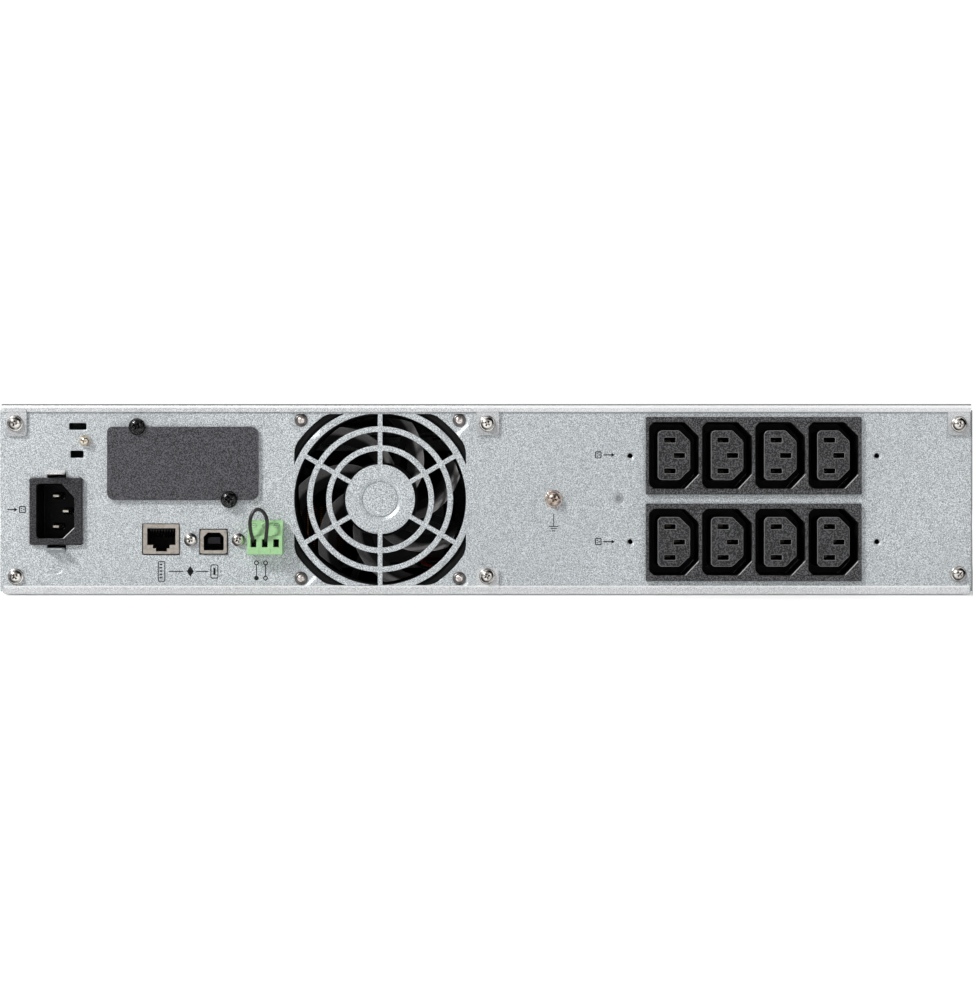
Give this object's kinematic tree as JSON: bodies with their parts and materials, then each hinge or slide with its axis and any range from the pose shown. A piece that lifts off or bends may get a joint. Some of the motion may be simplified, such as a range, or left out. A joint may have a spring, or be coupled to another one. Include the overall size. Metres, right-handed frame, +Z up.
{
  "type": "rackmount uninterruptible power supply",
  "caption": "Two-unit rack-mount UPS with a galvanised steel case, stamped fan grille, mains inlet and outlet blocks, data and signal ports, pull-out battery drawer and front control panel",
  "frame": {"origin": "centre of the flat underside of the case, on mount base", "axes": "+X to the right of someone facing the connector panel, +Y towards the front bezel and battery drawer, +Z up"},
  "size_m": [0.4826, 0.45, 0.0861],
  "materials": {
    "zinc_sheet": "galvanised sheet, bare, finely grained",
    "plated_screw": "nickel-plated steel, warm and shiny",
    "black_screw": "black oxide, semi-gloss",
    "black_plastic": "moulded, matt, dark grey",
    "fan_plastic": "moulded, satin, black",
    "cover_paint": "powder coat, dark grey, matt",
    "green_plastic": "moulded, light green",
    "wire_jacket": "PVC insulation, black",
    "nickel_shell": "tinned and nickel-plated",
    "circuit_board": "solder mask, green",
    "aluminium": "extruded",
    "copper_winding": "enamelled copper wire and steel laminations",
    "battery_case": "moulded battery case and capacitor sleeve, dark grey",
    "bezel_plastic": "moulded, fine texture, black",
    "display_window": "tinted clear window",
    "key_plastic": "moulded, dark grey",
    "ear_paint": "powder coat, black",
    "connector_plastic": "moulded, red",
    "brass": "sintered bronze"
  },
  "bodies": {
    "case": {"battery_socket": "connector_plastic", "bus_capacitor": "battery_case", "case_screw_bottom_left": "plated_screw", "case_screw_bottom_middle": "plated_screw", "case_screw_bottom_right": "plated_screw", "case_screw_top_left": "plated_screw", "case_screw_top_middle": "plated_screw", "case_screw_top_right": "plated_screw", "chassis_base": "zinc_sheet", "chassis_divider": "zinc_sheet", "display_module": "circuit_board", "display_window": "display_window", "ear_screw_left_lower": "plated_screw", "ear_screw_left_upper": "plated_screw", "ear_screw_right_lower": "plated_screw", "ear_screw_right_upper": "plated_screw", "fan_bearing": "brass", "fan_frame": "fan_plastic", "fan_screw_bottom_left": "plated_screw", "fan_screw_bottom_right": "plated_screw", "fan_screw_top_left": "plated_screw", "fan_screw_top_right": "plated_screw", "fan_stator": "copper_winding", "filter_choke": "copper_winding", "front_bezel": "bezel_plastic", "ground_screw": "plated_screw", "heat_sink": "aluminium", "inlet_contacts": "nickel_shell", "inlet_housing": "black_plastic", "outlet_block_lower": "black_plastic", "outlet_block_upper": "black_plastic", "outlet_board": "circuit_board", "port_board": "circuit_board", "port_screw_left": "plated_screw", "port_screw_right": "plated_screw", "power_board": "circuit_board", "rack_ear_left": "ear_paint", "rack_ear_right": "ear_paint", "rear_panel": "zinc_sheet", "serial_jack": "nickel_shell", "standoff_screw": "plated_screw", "terminal_header": "green_plastic", "top_cover": "zinc_sheet", "usb_jack": "nickel_shell"},
    "fan": {"fan_rotor": "fan_plastic"},
    "slot_cover": {"slot_cover": "cover_paint", "slot_cover_screw_left": "black_screw", "slot_cover_screw_right": "black_screw"},
    "terminal_plug": {"terminal_plug": "green_plastic", "terminal_jumper": "wire_jacket"},
    "battery_drawer": {"battery_tray": "zinc_sheet", "battery_front_left": "battery_case", "battery_front_right": "battery_case", "battery_rear": "battery_case", "battery_plug": "connector_plastic"},
    "battery_cover": {"battery_cover": "bezel_plastic"},
    "power_key": {"power_key": "key_plastic"},
    "up_key": {"up_key": "key_plastic"},
    "down_key": {"down_key": "key_plastic"},
    "enter_key": {"enter_key": "key_plastic"}
  },
  "joints": [
    {"name": "fan_spin", "type": "hinge", "parent": "case", "child": "fan", "pos_m": [-0.0481, -0.204, 0.04305], "axis": [0, 1, 0], "continuous": true},
    {"name": "slot_cover_off", "type": "slide", "parent": "case", "child": "slot_cover", "axis": [0, -1, 0], "range_m": [0, 0.06]},
    {"name": "terminal_plug_out", "type": "slide", "parent": "case", "child": "terminal_plug", "axis": [0, -1, 0], "range_m": [0, 0.02]},
    {"name": "battery_drawer_out", "type": "slide", "parent": "case", "child": "battery_drawer", "axis": [0, 1, 0], "range_m": [0, 0.3]},
    {"name": "battery_cover_off", "type": "slide", "parent": "battery_drawer", "child": "battery_cover", "axis": [0, 1, 0], "range_m": [0, 0.03]},
    {"name": "power_press", "type": "slide", "parent": "case", "child": "power_key", "axis": [0, -1, 0], "range_m": [0, 0.0012], "stiffness_N_per_m": 600},
    {"name": "up_press", "type": "slide", "parent": "case", "child": "up_key", "axis": [0, -1, 0], "range_m": [0, 0.0012], "stiffness_N_per_m": 600},
    {"name": "down_press", "type": "slide", "parent": "case", "child": "down_key", "axis": [0, -1, 0], "range_m": [0, 0.0012], "stiffness_N_per_m": 600},
    {"name": "enter_press", "type": "slide", "parent": "case", "child": "enter_key", "axis": [0, -1, 0], "range_m": [0, 0.0012], "stiffness_N_per_m": 600}
  ]
}
